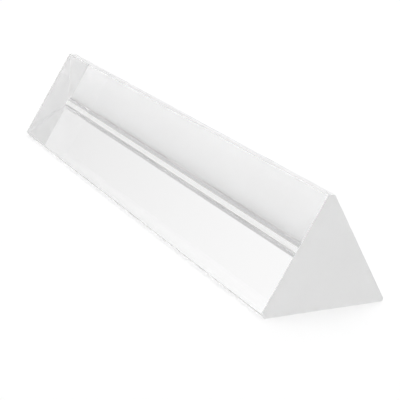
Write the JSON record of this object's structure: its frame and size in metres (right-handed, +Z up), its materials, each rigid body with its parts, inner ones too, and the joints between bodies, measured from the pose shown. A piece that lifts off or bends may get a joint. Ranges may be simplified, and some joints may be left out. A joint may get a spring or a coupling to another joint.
{
  "type": "glass prism",
  "caption": "Long equilateral prism of clear optical glass with polished faces, ground ends and flats along its long edges, lying on one face to bend and disperse light.",
  "frame": {"origin": "middle of the polished face that the prism lies on", "axes": "+X along the bar's length, +Z up from the face that it lies on to the upper edge, -Y towards the polished face on the viewer's side"},
  "size_m": [0.15, 0.0286, 0.0247],
  "materials": {
    "optical_glass": "three long faces polished clear, flats along the long edges stoned to a satin, both triangular ends fine ground and matte"
  },
  "bodies": {
    "root": {"glass_prism": "optical_glass"}
  },
  "joints": []
}
